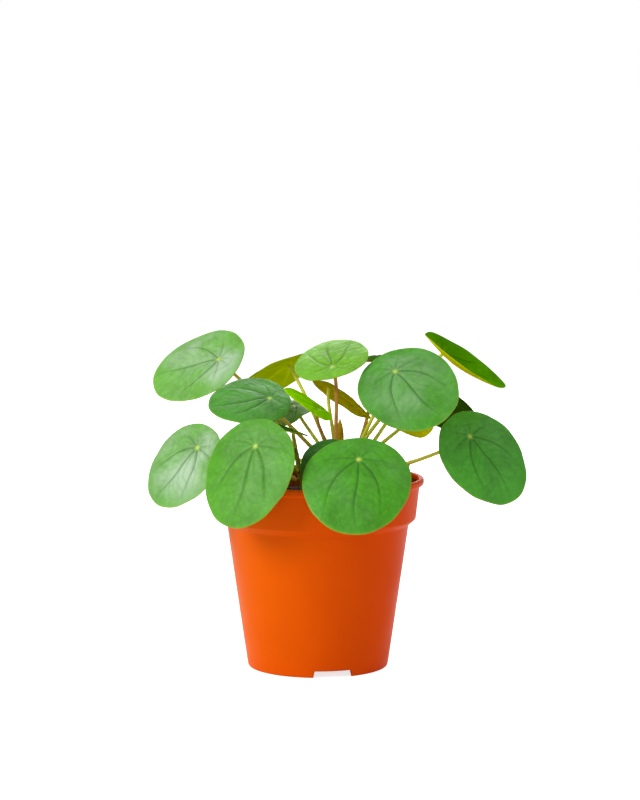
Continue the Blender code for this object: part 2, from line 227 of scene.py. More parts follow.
def tube_rings(line, radii, sides):
    """Circles carried along a line without twist: each ring's first direction is the last ring's,
    made square to the line again."""
    ahead = np.gradient(line, axis=0)
    ahead /= np.linalg.norm(ahead, axis=1)[:, None]
    across = np.zeros_like(line)
    side = np.cross(ahead[0], [0.3, 0.5, 0.8])
    for k, direction in enumerate(ahead):
        side = side - direction * side.dot(direction)
        side = side / np.linalg.norm(side)
        across[k] = side
    third = np.cross(ahead, across)
    turn = np.linspace(0, 2 * np.pi, sides, endpoint=False)
    circle = np.cos(turn)[None, :, None] * across[:, None] + np.sin(turn)[None, :, None] * third[:, None]
    radii = np.asarray(radii)
    if radii.ndim == 1:
        radii = radii[:, None]
    return line[:, None] + circle * radii[..., None]


def stalk_line(name):
    """The centre line and radii of a stalk's solid: its vertices sorted along the chord, in rings."""
    points = solid_points("stalk_" + name)
    chord = np.linalg.svd(points - points.mean(axis=0))[2][0]
    blade_middle = solid_points("blade_" + name).mean(axis=0)
    if chord.dot(blade_middle - points.mean(axis=0)) < 0:
        chord = -chord
    ordered = points[np.argsort(points @ chord)]
    rings = ordered.reshape(-1, STALK_SOLID_SIDES, 3)
    centres = rings.mean(axis=1)
    radii = np.linalg.norm(rings - centres[:, None], axis=2).mean(axis=1)
    return centres, radii


def smooth_line(centres, radii, count, overrun=0.0):
    """A cubic through the centres by least squares, run a little past its end."""
    steps = np.linspace(0, 1, len(centres))
    fine = np.linspace(0, 1 + overrun, count)
    line = np.stack([np.polyval(np.polyfit(steps, centres[:, k], 3), fine) for k in range(3)], axis=1)
    return line, np.interp(fine, steps, radii)


class BladePlane:
    """Where a blade lies: its joint, its own axes, its outline and its dome, all read from its solid."""

    def __init__(self, name):
        points = solid_points("blade_" + name)
        middle = points.mean(axis=0)
        centres, _ = stalk_line(name)
        normal = np.linalg.svd(points - middle)[2][2]
        if normal.dot(centres[-1] - centres[-3]) < 0:
            normal = -normal
        joint = centres[-1] + normal * normal.dot(middle - centres[-1])
        along = middle - joint
        along -= normal * along.dot(normal)
        along /= np.linalg.norm(along)
        self.axes = np.stack([along, np.cross(normal, along), normal])
        local = (points - joint) @ self.axes.T
        self.joint = joint
        u, v, height = local.T
        self.height_terms = np.linalg.lstsq(self.terms(u, v), height, rcond=None)[0]
        self.middle = (local[:, :2].max(axis=0) + local[:, :2].min(axis=0)) / 2
        across = local[:, :2] - self.middle
        distance = np.hypot(across[:, 0], across[:, 1])
        turn = np.arctan2(across[:, 1], across[:, 0])
        rim = self.rim_mask(distance, turn)
        self.outline_terms = np.linalg.lstsq(self.waves(turn[rim]), distance[rim], rcond=None)[0]

    @staticmethod
    def rim_mask(distance, turn):
        """True for points on the outer ring: none near them, by turn, is much further out."""
        gap = np.abs((turn[:, None] - turn[None] + np.pi) % (2 * np.pi) - np.pi)
        reach = np.where(gap < 0.25, distance[None], 0).max(axis=1)
        return distance > 0.93 * reach

    @staticmethod
    def terms(u, v):
        """Terms of a quadratic surface: one, u, v, and their squares and product."""
        return np.stack([np.ones_like(u), u, v, u * u, u * v, v * v], axis=-1)

    @staticmethod
    def waves(turn):
        """Cosines and sines of the turn, up to the fourth, for a smooth closed outline."""
        parts = [np.ones_like(turn)]
        for order in range(1, 5):
            parts += [np.cos(order * turn), np.sin(order * turn)]
        return np.stack(parts, axis=-1)

    def outline(self, turn):
        """Points (u, v) of the rim at turns about the blade's middle."""
        reach = (self.waves(turn) @ self.outline_terms)[..., None]
        return self.middle + reach * np.stack([np.cos(turn), np.sin(turn)], axis=-1)

    def height(self, u, v):
        """The dome's height over (u, v)."""
        return self.terms(u, v) @ self.height_terms

    def place(self, local):
        """From the blade's own axes to the frame's."""
        return self.joint + local @ self.axes


def vein_fields(u, v, share, rng):
    """Broad grooves and fine lines, from 0 to 1, for the main veins that leave the joint.

    Each vein is a curve whose turn about the joint shifts evenly with the share of the way out, with a
    slow wander. Both fields fall off as a bell over the arc between a point and the curve.
    """
    turn = np.arctan2(v, u)
    distance = np.hypot(u, v)
    groove = np.zeros_like(share)
    line = np.zeros_like(share)
    for start, bend, strength, end in MAIN_VEINS:
        path = start + rng.normal(0, 0.05) + bend * share
        path = path + 0.035 * np.sin(7 * share + rng.uniform(0, 6))
        off = np.abs((turn - path + np.pi) % (2 * np.pi) - np.pi) * distance
        fade = np.clip((end - share) / 0.4, 0, 1) * np.clip(share / 0.02, 0, 1) * strength
        groove = np.maximum(groove, fade * np.exp(-(off / (0.0015 - 0.0006 * share)) ** 2))
        line = np.maximum(line, fade * np.exp(-(off / (0.00055 - 0.00025 * share)) ** 2))
    return groove, line


def rib_field(u, v, length, rng):
    """Side ribs: bowed chevrons along the midrib, evenly spaced but for a slow wander.

    Each rib falls off as a bell of the phase: the share of the length, less the share away from the
    midrib and plus half its square, over the spacing.
    """
    away = np.abs(v) / length
    slow = 0.05 * np.sin(9 * u / length + rng.uniform(0, 6))
    quick = 0.03 * np.sin(23 * v / length + rng.uniform(0, 6))
    phase = (u / length - 0.9 * away + 0.5 * away ** 2 + (slow + quick)) / RIB_SPACING
    return np.exp(-(((phase % 1.0) - 0.5) / 0.13) ** 2) * np.clip(away / 0.06, 0, 1)


def blade_surface(name):
    """One leaf blade: rings from the joint out over the top, round the rim and back underneath.

    A point at share s and turn t lies s times as far from the joint as the rim's point at t, at the
    dome's height there, plus slow waves that grow towards the rim, less the depth of veins and ribs.
    """
    plane = BladePlane(name)
    rng = np.random.default_rng(sum(map(ord, name)))
    turn = np.linspace(-np.pi, np.pi, BLADE_SPOKES, endpoint=False)
    top = np.linspace(0, 1, BLADE_TOP_RINGS + 1)[1:] ** 0.9
    under = np.linspace(1, 0, BLADE_UNDER_RINGS + 1)[:-1]
    bend = np.linspace(0, np.pi, RIM_RINGS + 2)[1:-1]
    share = np.concatenate([top * 0.985, 0.985 + 0.012 * np.sin(bend), under * 0.985])
    side = np.concatenate([np.ones(len(top)), np.cos(bend), -np.ones(len(under))])
    share = share[:, None] * np.ones_like(turn)
    side = side[:, None] * np.ones_like(turn)
    spokes = np.broadcast_to(turn, share.shape)
    rim = plane.outline(turn)
    length = float(rim[:, 0].max())
    ripple = sum(
        rng.normal(0, 0.0035) * np.cos(order * turn + rng.uniform(0, 6)) for order in (3, 5, 7, 11))
    rim = plane.middle + (rim - plane.middle) * (0.992 + ripple)[:, None]
    u = share * rim[:, 0]
    v = share * rim[:, 1]
    groove, line = vein_fields(u, v, share, rng)
    rim_fade = np.clip((0.95 - share) / 0.25, 0, 1)
    ribs = rib_field(u, v, length, rng) * rim_fade * np.clip(share / 0.15, 0, 1)
    wave = sum(
        rng.normal(0, 1) * np.cos(order * spokes + rng.uniform(0, 6)) / order for order in (2, 3, 5, 7))
    lift = wave * WAVE_HEIGHT * share ** 3
    pucker = sum(
        rng.normal(0, 1) * np.sin(u * rate * np.cos(k) + v * rate * np.sin(k) + rng.uniform(0, 6))
        for k, rate in enumerate((260, 330, 410, 520, 640)))
    relief = (-GROOVE_DEPTH * groove - LINE_DEPTH * line - RIB_DEPTH * ribs
              + PUCKER_DEPTH * pucker * np.clip(share * 3, 0, 1))
    dimple = -DIMPLE_DEPTH * np.exp(-(np.hypot(u, v) / DIMPLE_RADIUS) ** 2)
    thickness = BLADE_HALF_THICKNESS * (1 - 0.35 * share)
    z = plane.height(u, v) + lift + relief + dimple + side * thickness
    rings = plane.place(np.stack([u, v, z], axis=-1))
    joint_height = float(plane.height(0.0, 0.0)) - DIMPLE_DEPTH
    ends = [plane.place(np.array([0, 0, joint_height + skin * BLADE_HALF_THICKNESS])) for skin in (1, -1)]
    piece = closed_form("leaf_" + name, rings, *ends)
    near = np.exp(-(np.hypot(u, v) / JOINT_SPOT_RADIUS) ** 2)
    fields = (("vein", line, 0.0), ("groove", groove, 0.0), ("rib", ribs, 0.0), ("out", share, 0.0),
              ("joint", near, 1.0))
    for label, field, centre in fields:
        set_values(piece, label, np.concatenate([field.ravel(), [centre, centre]]))
    set_values(piece, "under", np.concatenate([((1 - side) / 2).ravel(), [0.0, 1.0]]))
    return piece


def stalk_surface(name):
    """One stalk: a tube on its solid's line, swollen at its foot and where it meets the blade."""
    centres, radii = stalk_line(name)
    line, radius = smooth_line(centres, radii, STALK_RINGS, 0.012)
    share = np.linspace(0, 1, STALK_RINGS)
    swell = FOOT_SWELL * np.exp(-(share / 0.05) ** 2) + JOINT_SWELL * np.exp(-((1 - share) / 0.03) ** 2)
    rings = tube_rings(line, radius * (STALK_FULLNESS + swell), STALK_SIDES)
    piece = closed_form("stem_of_" + name, rings, line[0], line[-1])
    along = np.repeat(share, STALK_SIDES)
    set_values(piece, "along", np.concatenate([along, [0.0, 1.0]]))
    return piece


def rounded_profile(corners):
    """A profile of (radius, z) with each corner (radius, z, round) turned into a short arc.

    The arc is a quadratic curve that starts and ends the given length away from the corner.
    """
    corners = np.array(corners, dtype=float)
    points = []
    for k, (radius, z, size) in enumerate(corners):
        here = np.array([radius, z])
        if size == 0 or k in (0, len(corners) - 1):
            points.append(here)
            continue
        before = corners[k - 1, :2] - here
        after = corners[k + 1, :2] - here
        start = here + before / np.linalg.norm(before) * min(size, np.linalg.norm(before) * 0.45)
        end = here + after / np.linalg.norm(after) * min(size, np.linalg.norm(after) * 0.45)
        for t in np.linspace(0, 1, 6):
            points.append((1 - t) ** 2 * start + 2 * t * (1 - t) * here + t * t * end)
    return np.array(points)


def pot_profile():
    """Half section of the pot, from inside its foot up the outer wall, over the lip and down inside."""
    lip = POT_LIP_RADIUS - INSET
    top = POT_HEIGHT - INSET
    foot = POT_FOOT_RADIUS - INSET
    slope = (POT_BODY_RADIUS - POT_FOOT_RADIUS) / POT_BODY_TOP
    floor = POT_FLOOR
    corners = [
        (POT_HUB_RADIUS, floor, 0),
        (foot - 0.0014, floor, 0.0005),
        (foot - 0.0014, INSET, 0.0002),
        (foot - 0.0001, INSET, 0.0013),
        (foot + slope * (floor + 0.0002), floor + 0.0002, 0),
        (foot + slope * (floor + 0.0010), floor + 0.0010, 0),
        (foot + slope * 0.020, 0.020, 0),
        (POT_BODY_RADIUS - INSET - slope * 0.001, POT_BODY_TOP - 0.0002, 0.0010),
        (POT_BAND_RADIUS - INSET, POT_BAND_LOW + 0.0001, 0.0007),
        (POT_BAND_TOP - INSET, top - POT_LIP_DEPTH, 0.0006),
        (lip - 0.0001, top - POT_LIP_DEPTH + 0.0006, 0.0009),
        (lip, top - 0.0001, 0.0014),
        (lip - 0.0030, top, 0.0012),
        (POT_BAND_TOP - POT_WALL, top - POT_LIP_DEPTH, 0.0010),
        (POT_BAND_RADIUS - POT_WALL, POT_BAND_LOW + 0.0008, 0.0006),
        (POT_BODY_RADIUS - POT_WALL, POT_BODY_TOP + 0.0006, 0.0006),
        (foot - POT_WALL + slope * floor, floor + POT_WALL, 0.0008),
        (POT_HUB_RADIUS, floor + POT_WALL, 0),
    ]
    return rounded_profile(corners)


def pot_surface():
    """The pot: its rounded half section turned about Z and closed on the axis, with the foot's wall
    lifted over three arcs to make the notches."""
    profile = pot_profile()
    turn = np.linspace(0, 2 * np.pi, POT_TURNS, endpoint=False)
    radius, turns = np.meshgrid(profile[:, 0], turn, indexing="ij")
    height = np.repeat(profile[:, 1][:, None], POT_TURNS, axis=1)
    spread = 2 * np.pi / NOTCH_COUNT
    off = np.abs((turns - NOTCH_CENTRE + spread / 2) % spread - spread / 2)
    cut = off < NOTCH_HALF
    foot = (radius > POT_FOOT_RADIUS - 0.004) & (height < POT_FLOOR - 0.0002)
    height = np.where(cut & foot, POT_FLOOR - 0.0002, height)
    rings = np.stack([radius * np.cos(turns), radius * np.sin(turns), height], axis=-1)
    piece = closed_form("pot_moulding", rings, [0, 0, POT_FLOOR], [0, 0, POT_FLOOR + POT_WALL])
    inner = (radius < POT_BAND_TOP - POT_WALL / 2) & (height < POT_HEIGHT - POT_LIP_DEPTH / 2)
    past_lip = np.arange(len(profile))[:, None] > profile[:, 1].argmax()
    set_values(piece, "inside", np.concatenate([(inner & past_lip).ravel(), [0, 1]]))
    return piece


def soil_height(x, y):
    """Height of the soil's fine top over its middle level: slow mounds, lumps and grains."""
    mounds = 0.0006 * np.sin(90 * x + 1.0) * np.cos(110 * y)
    lumps = 0.0005 * np.sin(410 * x + 2.0 * np.sin(300 * y)) * np.cos(380 * y + 1.7)
    grains = 0.00025 * np.sin(1300 * x + 3 * np.cos(900 * y)) * np.sin(1150 * y + 2 * np.sin(1000 * x))
    return mounds + lumps + grains


def soil_surface():
    """The soil: a disc of rings with a lumpy top, and a plain side and underside.

    The top falls from its crown with the square of the share of the way out, and its lumps fade there.
    """
    points = solid_points("soil")
    reach = np.hypot(points[:, 0], points[:, 1])
    edge = float(reach[points[:, 2] > SOIL_SIDE_HEIGHTS[0] + 0.0005].max()) - 0.0002
    low = float(points[:, 2].min())
    low_radius = float(reach[points[:, 2] < low + 0.0005].max())
    turn = np.linspace(0, 2 * np.pi, SOIL_TURNS, endpoint=False)
    share = np.linspace(0, 1, SOIL_RINGS + 1)[1:] ** 0.8
    radius = share[:, None] * edge * np.ones_like(turn)
    x = radius * np.cos(turn)
    y = radius * np.sin(turn)
    fade = np.clip((1 - share[:, None]) * 12, 0.15, 1)
    z = SOIL_EDGE + SOIL_CROWN * (1 - share[:, None] ** 2) + soil_height(x, y) * fade
    rings = np.stack([x, y, z], axis=-1)
    side_z = np.array([*SOIL_SIDE_HEIGHTS, low + SOIL_GAP])
    side_r = np.array([edge - SOIL_GAP, *SOIL_SIDE_RADII, low_radius - SOIL_GAP])
    side = np.stack([side_r[:, None] * np.cos(turn), side_r[:, None] * np.sin(turn),
                     side_z[:, None] * np.ones_like(turn)], axis=-1)
    whole = np.concatenate([rings, side])[::-1]
    return closed_form("soil_mound", whole, [0, 0, low + SOIL_GAP], [0, 0, SOIL_EDGE + SOIL_CROWN])


def soil_crumbs(rng):
    """Crumbs, bark and pale grains on the soil: small lumps, each a bent and stretched ball."""
    count = CRUMB_COUNT
    turn = rng.uniform(0, 2 * np.pi, count)
    reach = CRUMB_REACH * np.sqrt(rng.uniform(0, 1, count))
    size = rng.uniform(0.0006, 0.0017, count)
    size[:40] *= 1.35
    tilt = np.linspace(0, np.pi, 7)[1:-1]
    round_turn = np.linspace(0, 2 * np.pi, 9)[:-1]
    u, v = np.meshgrid(tilt, round_turn, indexing="ij")
    ball = np.stack([np.sin(u) * np.cos(v), np.sin(u) * np.sin(v), np.cos(u)], axis=-1)
    rough = 1 + 0.25 * rng.normal(0, 1, (count,) + u.shape)
    stretch = rng.uniform(0.5, 1.3, (count, 1, 1, 3)) * [1, 1, 0.75]
    lumps = ball[None] * rough[..., None] * stretch * size[:, None, None, None]
    spin = rng.uniform(0, 2 * np.pi, count)[:, None, None]
    x = lumps[..., 0] * np.cos(spin) - lumps[..., 1] * np.sin(spin)
    y = lumps[..., 0] * np.sin(spin) + lumps[..., 1] * np.cos(spin)
    cx = reach * np.cos(turn)
    cy = reach * np.sin(turn)
    cz = SOIL_EDGE + SOIL_CROWN * (1 - (reach / 0.055) ** 2) + soil_height(cx, cy) + size * 0.15
    centre = np.stack([cx, cy, cz], axis=-1)
    placed = np.stack([x, y, lumps[..., 2]], axis=-1) + centre[:, None, None]
    rows, columns = u.shape
    up = np.array([0, 0, 1.0]) * size[:, None] * 0.6
    points = np.concatenate(
        [placed.reshape(count, -1, 3), (centre + up)[:, None], (centre - up)[:, None]], axis=1)
    each = rows * columns + 2
    here = np.arange(columns)
    after = (here + 1) % columns
    quads = grid_faces(rows, columns)
    first = np.stack([here, after, np.full(columns, rows * columns)], axis=1)[:, ::-1]
    last = np.stack([(rows - 1) * columns + here, (rows - 1) * columns + after,
                     np.full(columns, rows * columns + 1)], axis=1)
    shift = (np.arange(count) * each)[:, None, None]
    piece = add_piece("soil_crumbs", points.reshape(-1, 3), (quads[None] + shift).reshape(-1, 4)[:, ::-1],
                      (np.concatenate([first, last])[None] + shift).reshape(-1, 3)[:, ::-1])
    set_values(piece, "tone", np.repeat(rng.uniform(0, 1, count), each))
    return piece


def stem_surface(node, name, sides=40, rings=90):
    """A stem: a tube up its solid's line, with leaf scars as shallow steps round it and a domed top."""
    points = solid_points(node)
    low, high = float(points[:, 2].min()), float(points[:, 2].max())
    bottom = points[points[:, 2] < low + (high - low) * 0.1]
    upper = points[points[:, 2] > high - (high - low) * 0.1]
    start, end = bottom.mean(axis=0), upper.mean(axis=0)
    start_radius = np.linalg.norm(bottom - start, axis=1).max()
    end_radius = np.linalg.norm(upper - end, axis=1).max()
    share = np.linspace(0, 1, rings)
    line = start + (end - start) * share[:, None]
    radius = start_radius + (end_radius - start_radius) * share
    dome = np.sqrt(np.clip(1 - ((share - 0.93) / 0.07).clip(0, 1) ** 2, 0.02, 1))
    turn = np.linspace(0, 2 * np.pi, sides, endpoint=False)
    spiral = (share[:, None] * 9 + turn / (2 * np.pi) * 2) % 1.0
    scars = 0.06 * np.exp(-((spiral - 0.5) / 0.10) ** 2) - 0.07
    radii = radius[:, None] * dome[:, None] * (1 + scars + 0.02 * np.sin(3 * turn + 20 * share[:, None]))
    return closed_form(name, tube_rings(line, radii, sides), line[0], line[-1])


def sheath_surface():
    """The dry sheath: its solid's outline as a fine leaf-shaped tongue with lengthwise ribs."""
    points = solid_points("leaf_sheath")
    low, high = float(points[:, 2].min()), float(points[:, 2].max())
    middle = points.mean(axis=0)
    wide = (points[:, 0].max() - points[:, 0].min()) / 2
    deep = (points[:, 1].max() - points[:, 1].min()) / 2
    share = np.linspace(0, 1, 40)
    line = np.stack([middle[0] + 0 * share, middle[1] + 0 * share, low + (high - low) * share], axis=1)
    shape = np.clip(np.sin(np.pi * (0.16 + 0.84 * share)), 0.05, None) ** 0.8
    turn = np.linspace(0, 2 * np.pi, 48, endpoint=False)
    rib = 1 - 0.06 * (0.5 + 0.5 * np.cos(9 * turn))
    x = line[:, :1] + shape[:, None] * wide * 0.9 * np.cos(turn) * rib
    y = line[:, 1:2] + shape[:, None] * deep * 0.9 * np.sin(turn) * rib
    z = line[:, 2:] + 0 * turn
    return closed_form("dry_sheath", np.stack([x, y, z], axis=-1), line[0], line[-1])


# ---------------------------------------------------------------- materials


def new_group(name, inputs, outputs):
    """A shader node group with named sockets; inputs and outputs are (name, kind, default)."""
    group = bpy.data.node_groups.new(name, "ShaderNodeTree")
    for in_out, sockets in (("INPUT", inputs), ("OUTPUT", outputs)):
        for label, kind, default in sockets:
            socket = group.interface.new_socket(label, in_out=in_out, socket_type="NodeSocket" + kind)
            if default is not None:
                socket.default_value = default
    return group


class Nodes:
    """Short calls for adding and linking nodes in one tree."""

    def __init__(self, tree):
        self.tree = tree

    def add(self, kind, inputs=None, **settings):
        """A node with its settings made, then its inputs fed."""
        node = self.tree.nodes.new(kind)
        for key, value in settings.items():
            setattr(node, key, value)
        for key, value in (inputs or {}).items():
            self.feed(value, node.inputs[key])
        return node

    def feed(self, value, socket):
        """Link a socket to another node's output, or set its value."""
        if isinstance(value, bpy.types.NodeSocket):
            self.tree.links.new(value, socket)
        else:
            socket.default_value = value

    def attribute(self, name):
        """A number that the mesh stores at its vertices."""
        return self.add("ShaderNodeAttribute", attribute_name=name).outputs["Fac"]

    def noise(self, where, scale, detail=3.0, rough=0.55):
        """Soft clouds, about one for each metre over scale."""
        node = self.add("ShaderNodeTexNoise", {"Vector": where, "Scale": scale, "Detail": detail,
                                               "Roughness": rough})
        return node.outputs["Fac"]

    def cell_edge(self, where, scale):
        """How far a point is from the edge of its cell, in a net of irregular cells."""
        node = self.add("ShaderNodeTexVoronoi", {"Vector": where, "Scale": scale},
                        feature="DISTANCE_TO_EDGE")
        return node.outputs["Distance"]

    def band(self, value, low, high, out_low=0.0, out_high=1.0):
        """A value carried from one range to another and held at its ends."""
        node = self.add("ShaderNodeMapRange", {"Value": value, "From Min": low, "From Max": high,
                                               "To Min": out_low, "To Max": out_high})
        return node.outputs["Result"]

    def math(self, operation, first, second):
        """Two numbers joined by an operation."""
        return self.add("ShaderNodeMath", {0: first, 1: second}, operation=operation).outputs[0]

    def shade(self, colour, level):
        """The colour times a level."""
        node = self.add("ShaderNodeVectorMath", {0: colour}, operation="SCALE")
        node.inputs["Scale"].default_value = level
        return node.outputs[0]

    def mix(self, share, first, second):
        """Two colours mixed: the first at share 0, the second at 1."""
        node = self.add("ShaderNodeMix", data_type="RGBA")
        sockets = {socket.identifier: socket for socket in node.inputs}
        for key, value in (("Factor_Float", share), ("A_Color", first), ("B_Color", second)):
            self.feed(value, sockets[key])
        return next(socket for socket in node.outputs if socket.identifier == "Result_Color")


def linear(*srgb):
    """A screen colour from 0 to 255 as the shader's linear colour."""
    parts = [c / 255 for c in srgb]
    return tuple(c / 12.92 if c <= 0.04045 else ((c + 0.055) / 1.055) ** 2.4 for c in parts) + (1.0,)


def leaf_skin_group():
    """Colour, roughness and bump height of a leaf's skin, from the blade's own attributes."""
    group = new_group(
        "leaf skin",
        [("Top", "Color", None), ("Under", "Color", None), ("Bloom", "Float", 0.2)],
        [("Color", "Color", None), ("Roughness", "Float", None), ("Height", "Float", None)])
    nodes = Nodes(group)
    given = nodes.add("NodeGroupInput")
    result = nodes.add("NodeGroupOutput")
    where = nodes.add("ShaderNodeTexCoord").outputs["Object"]
    vein = nodes.attribute("vein")
    groove = nodes.attribute("groove")
    rib = nodes.attribute("rib")
    out = nodes.attribute("out")
    under = nodes.attribute("under")
    top = given.outputs["Top"]
    deep = nodes.shade(top, 0.45)
    mottle = nodes.noise(where, 60.0, 4.0, 0.6)
    base = nodes.mix(nodes.band(mottle, 0.40, 0.68, 0.0, 0.50), top, deep)
    fleck = nodes.band(nodes.noise(where, 380.0, 3.0), 0.48, 0.72, 0.0, 0.30)
    base = nodes.mix(fleck, base, nodes.shade(top, 1.55))
    net = nodes.cell_edge(where, 150.0)
    base = nodes.mix(nodes.band(net, 0.0, 0.10, 0.12, 0.0), base, deep)
    # Painted sheen: soft patches of the top are mixed towards a pale grey-green reflection, less towards
    # the rim.
    patch = nodes.band(nodes.noise(where, 40.0, 4.0, 0.6), 0.38, 0.60, 0.20, 1.0)
    centred = nodes.band(out, 0.55, 1.0, 1.0, 0.25)
    bloom = nodes.math("MULTIPLY", nodes.math("MULTIPLY", given.outputs["Bloom"], patch), centred)
    base = nodes.mix(bloom, base, linear(190, 216, 184))
    # Painted shade: the top is darkened along the broad vein grooves.
    base = nodes.mix(nodes.math("MULTIPLY", groove, 0.22), base, deep)
    base = nodes.mix(nodes.math("MULTIPLY", vein, 0.62), base, nodes.shade(top, 0.28))
    base = nodes.mix(nodes.math("MULTIPLY", rib, 0.20), base, deep)
    # Painted highlight: a pale yellow-green line along the rim of the top.
    base = nodes.mix(nodes.band(out, 0.965, 0.995, 0.0, 0.30), base, linear(160, 196, 60))
    base = nodes.mix(nodes.attribute("joint"), base, linear(206, 240, 110))
    given_under = given.outputs["Under"]
    below = nodes.mix(nodes.band(mottle, 0.3, 0.7, 0.0, 0.5), given_under, nodes.shade(given_under, 0.7))
    below = nodes.mix(nodes.math("MULTIPLY", groove, 0.45), below, nodes.shade(given_under, 1.5))
    nodes.feed(nodes.mix(under, base, below), result.inputs["Color"])
    rough = nodes.band(mottle, 0.2, 0.8, 0.36, 0.48)
    nodes.feed(nodes.math("ADD", rough, nodes.math("MULTIPLY", under, 0.2)), result.inputs["Roughness"])
    cells = nodes.math("MULTIPLY", nodes.noise(where, 700.0, 2.0), 0.35)
    swell = nodes.noise(where, 170.0, 3.0)
    pillow = nodes.math("MULTIPLY", nodes.band(net, 0.0, 0.30), 0.45)
    nodes.feed(nodes.math("ADD", nodes.math("ADD", cells, swell), pillow), result.inputs["Height"])
    return group


def new_material(name):
    """A material with its node helper and its shader."""
    material = bpy.data.materials.new(name)
    material.use_nodes = True
    nodes = Nodes(material.node_tree)
    return material, nodes, material.node_tree.nodes["Principled BSDF"]


def add_bump(nodes, shader, height, distance, strength):
    """Feed a height into the shader's normal."""
    bump = nodes.add("ShaderNodeBump", {"Height": height, "Distance": distance, "Strength": strength})
    nodes.feed(bump.outputs["Normal"], shader.inputs["Normal"])


def leaf_material(name, group):
    """One leaf's skin, with its own colours, painted sheen and gloss."""
    look = LEAF_LOOKS.get(name, PLAIN_LEAF)
    material, nodes, shader = new_material("leaf_" + name)
    skin = nodes.add("ShaderNodeGroup", node_tree=group)
    skin.inputs["Top"].default_value = linear(*look.top)
    skin.inputs["Under"].default_value = linear(*look.under)
    skin.inputs["Bloom"].default_value = look.bloom
    nodes.feed(skin.outputs["Color"], shader.inputs["Base Color"])
    nodes.feed(skin.outputs["Roughness"], shader.inputs["Roughness"])
    shader.inputs["Specular IOR Level"].default_value = look.gloss
    add_bump(nodes, shader, skin.outputs["Height"], 0.00045, 0.55)
    return material


def stalk_skin_group():
    """Colour and height of a stalk's skin: green near the blade, flushed and browner to its foot."""
    group = new_group(
        "stalk skin",
        [("Flush", "Float", 0.2)],
        [("Color", "Color", None), ("Height", "Float", None)])
    nodes = Nodes(group)
    given = nodes.add("NodeGroupInput")
    result = nodes.add("NodeGroupOutput")
    where = nodes.add("ShaderNodeTexCoord").outputs["Object"]
    along = nodes.attribute("along")
    streak = nodes.noise(where, 260.0, 3.0)
    green = nodes.mix(nodes.band(streak, 0.35, 0.65), linear(206, 226, 50), linear(226, 234, 84))
    brown = nodes.mix(nodes.band(streak, 0.35, 0.65), linear(232, 158, 80), linear(190, 106, 50))
    base = nodes.mix(given.outputs["Flush"], green, brown)
    foot = nodes.band(along, 0.0, 0.35, 0.30, 0.0)
    base = nodes.mix(foot, base, linear(150, 156, 30))
    nodes.feed(base, result.inputs["Color"])
    nodes.feed(streak, result.inputs["Height"])
    return group


def stalk_material(name, group):
    """One stalk's skin, with its own flush."""
    material, nodes, shader = new_material("stalk_" + name)
    skin = nodes.add("ShaderNodeGroup", node_tree=group)
    skin.inputs["Flush"].default_value = STALK_FLUSH.get(name, PLAIN_FLUSH)
    nodes.feed(skin.outputs["Color"], shader.inputs["Base Color"])
    shader.inputs["Roughness"].default_value = 0.45
    shader.inputs["Specular IOR Level"].default_value = 0.15
    add_bump(nodes, shader, skin.outputs["Height"], 0.00010, 0.5)
    return material


def plastic_material(sizes):
    """Satin plastic: lighter and more orange towards its left side as painted light, with a faint haze,
    fine scuffs, and the inside darkened as painted shade with soil specks.
    """
    material, nodes, shader = new_material("pot_plastic")
    where = nodes.add("ShaderNodeTexCoord").outputs["Object"]
    side = nodes.add("ShaderNodeSeparateXYZ", {"Vector": where}).outputs["X"]
    # Painted light: the left side, which faces the key lamp, is mixed to a lighter, more orange colour.
    base = nodes.mix(nodes.band(side, -0.052, 0.045), tuple(sizes.painted_lit_side), tuple(sizes.plastic))
    haze = nodes.band(nodes.noise(where, 18.0, 2.0), 0.35, 0.65, 0.0, 0.12)
    base = nodes.mix(haze, base, tuple(c * 0.5 for c in sizes.plastic[:3]) + (1.0,))
    scuffs = nodes.band(nodes.noise(where, 240.0, 4.0, 0.7), 0.62, 0.78, 0.0, 0.10)
    base = nodes.mix(scuffs, base, linear(238, 120, 10))
    # Painted shade with soil specks: the inside is mixed at least 62% towards dark brown, more in the
    # specks.
    specks = nodes.band(nodes.noise(where, 620.0, 3.0, 0.7), 0.50, 0.60)
    shade_and_soil = nodes.math("MULTIPLY", nodes.attribute("inside"), nodes.band(specks, 0.0, 1.0, 0.62, 0.97))
    base = nodes.mix(shade_and_soil, base, linear(74, 40, 18))
    nodes.feed(base, shader.inputs["Base Color"])
    shader.inputs["Specular IOR Level"].default_value = 0.03
    rough = nodes.band(nodes.noise(where, 60.0, 3.0), 0.3, 0.7, -0.04, 0.08)
    nodes.feed(nodes.math("ADD", rough, sizes.roughness), shader.inputs["Roughness"])
    add_bump(nodes, shader, nodes.noise(where, 700.0, 2.0), 0.00006, 0.4)
    return material


def soil_material():
    """Dark peat with brown grains."""
    material, nodes, shader = new_material("soil")
    where = nodes.add("ShaderNodeTexCoord").outputs["Object"]
    grain = nodes.noise(where, 700.0, 5.0, 0.7)
    base = nodes.mix(nodes.band(grain, 0.35, 0.7), linear(22, 14, 9), linear(74, 50, 34))
    nodes.feed(base, shader.inputs["Base Color"])
    shader.inputs["Roughness"].default_value = 0.95
    add_bump(nodes, shader, grain, 0.0006, 0.8)
    return material


def crumb_material():
    """Crumbs: most are dark peat, some are brown bark, and a few are pale grains."""
    material, nodes, shader = new_material("crumbs")
    tone = nodes.attribute("tone")
    where = nodes.add("ShaderNodeTexCoord").outputs["Object"]
    grain = nodes.noise(where, 1500.0, 3.0)
    peat = nodes.mix(grain, linear(20, 12, 8), linear(72, 48, 32))
    bark = nodes.mix(grain, linear(78, 44, 22), linear(140, 92, 52))
    base = nodes.mix(nodes.band(tone, 0.68, 0.70), peat, bark)
    base = nodes.mix(nodes.band(tone, 0.955, 0.96), base, linear(196, 186, 170))
    nodes.feed(base, shader.inputs["Base Color"])
    shader.inputs["Roughness"].default_value = 0.9
    add_bump(nodes, shader, grain, 0.0003, 0.7)
    return material


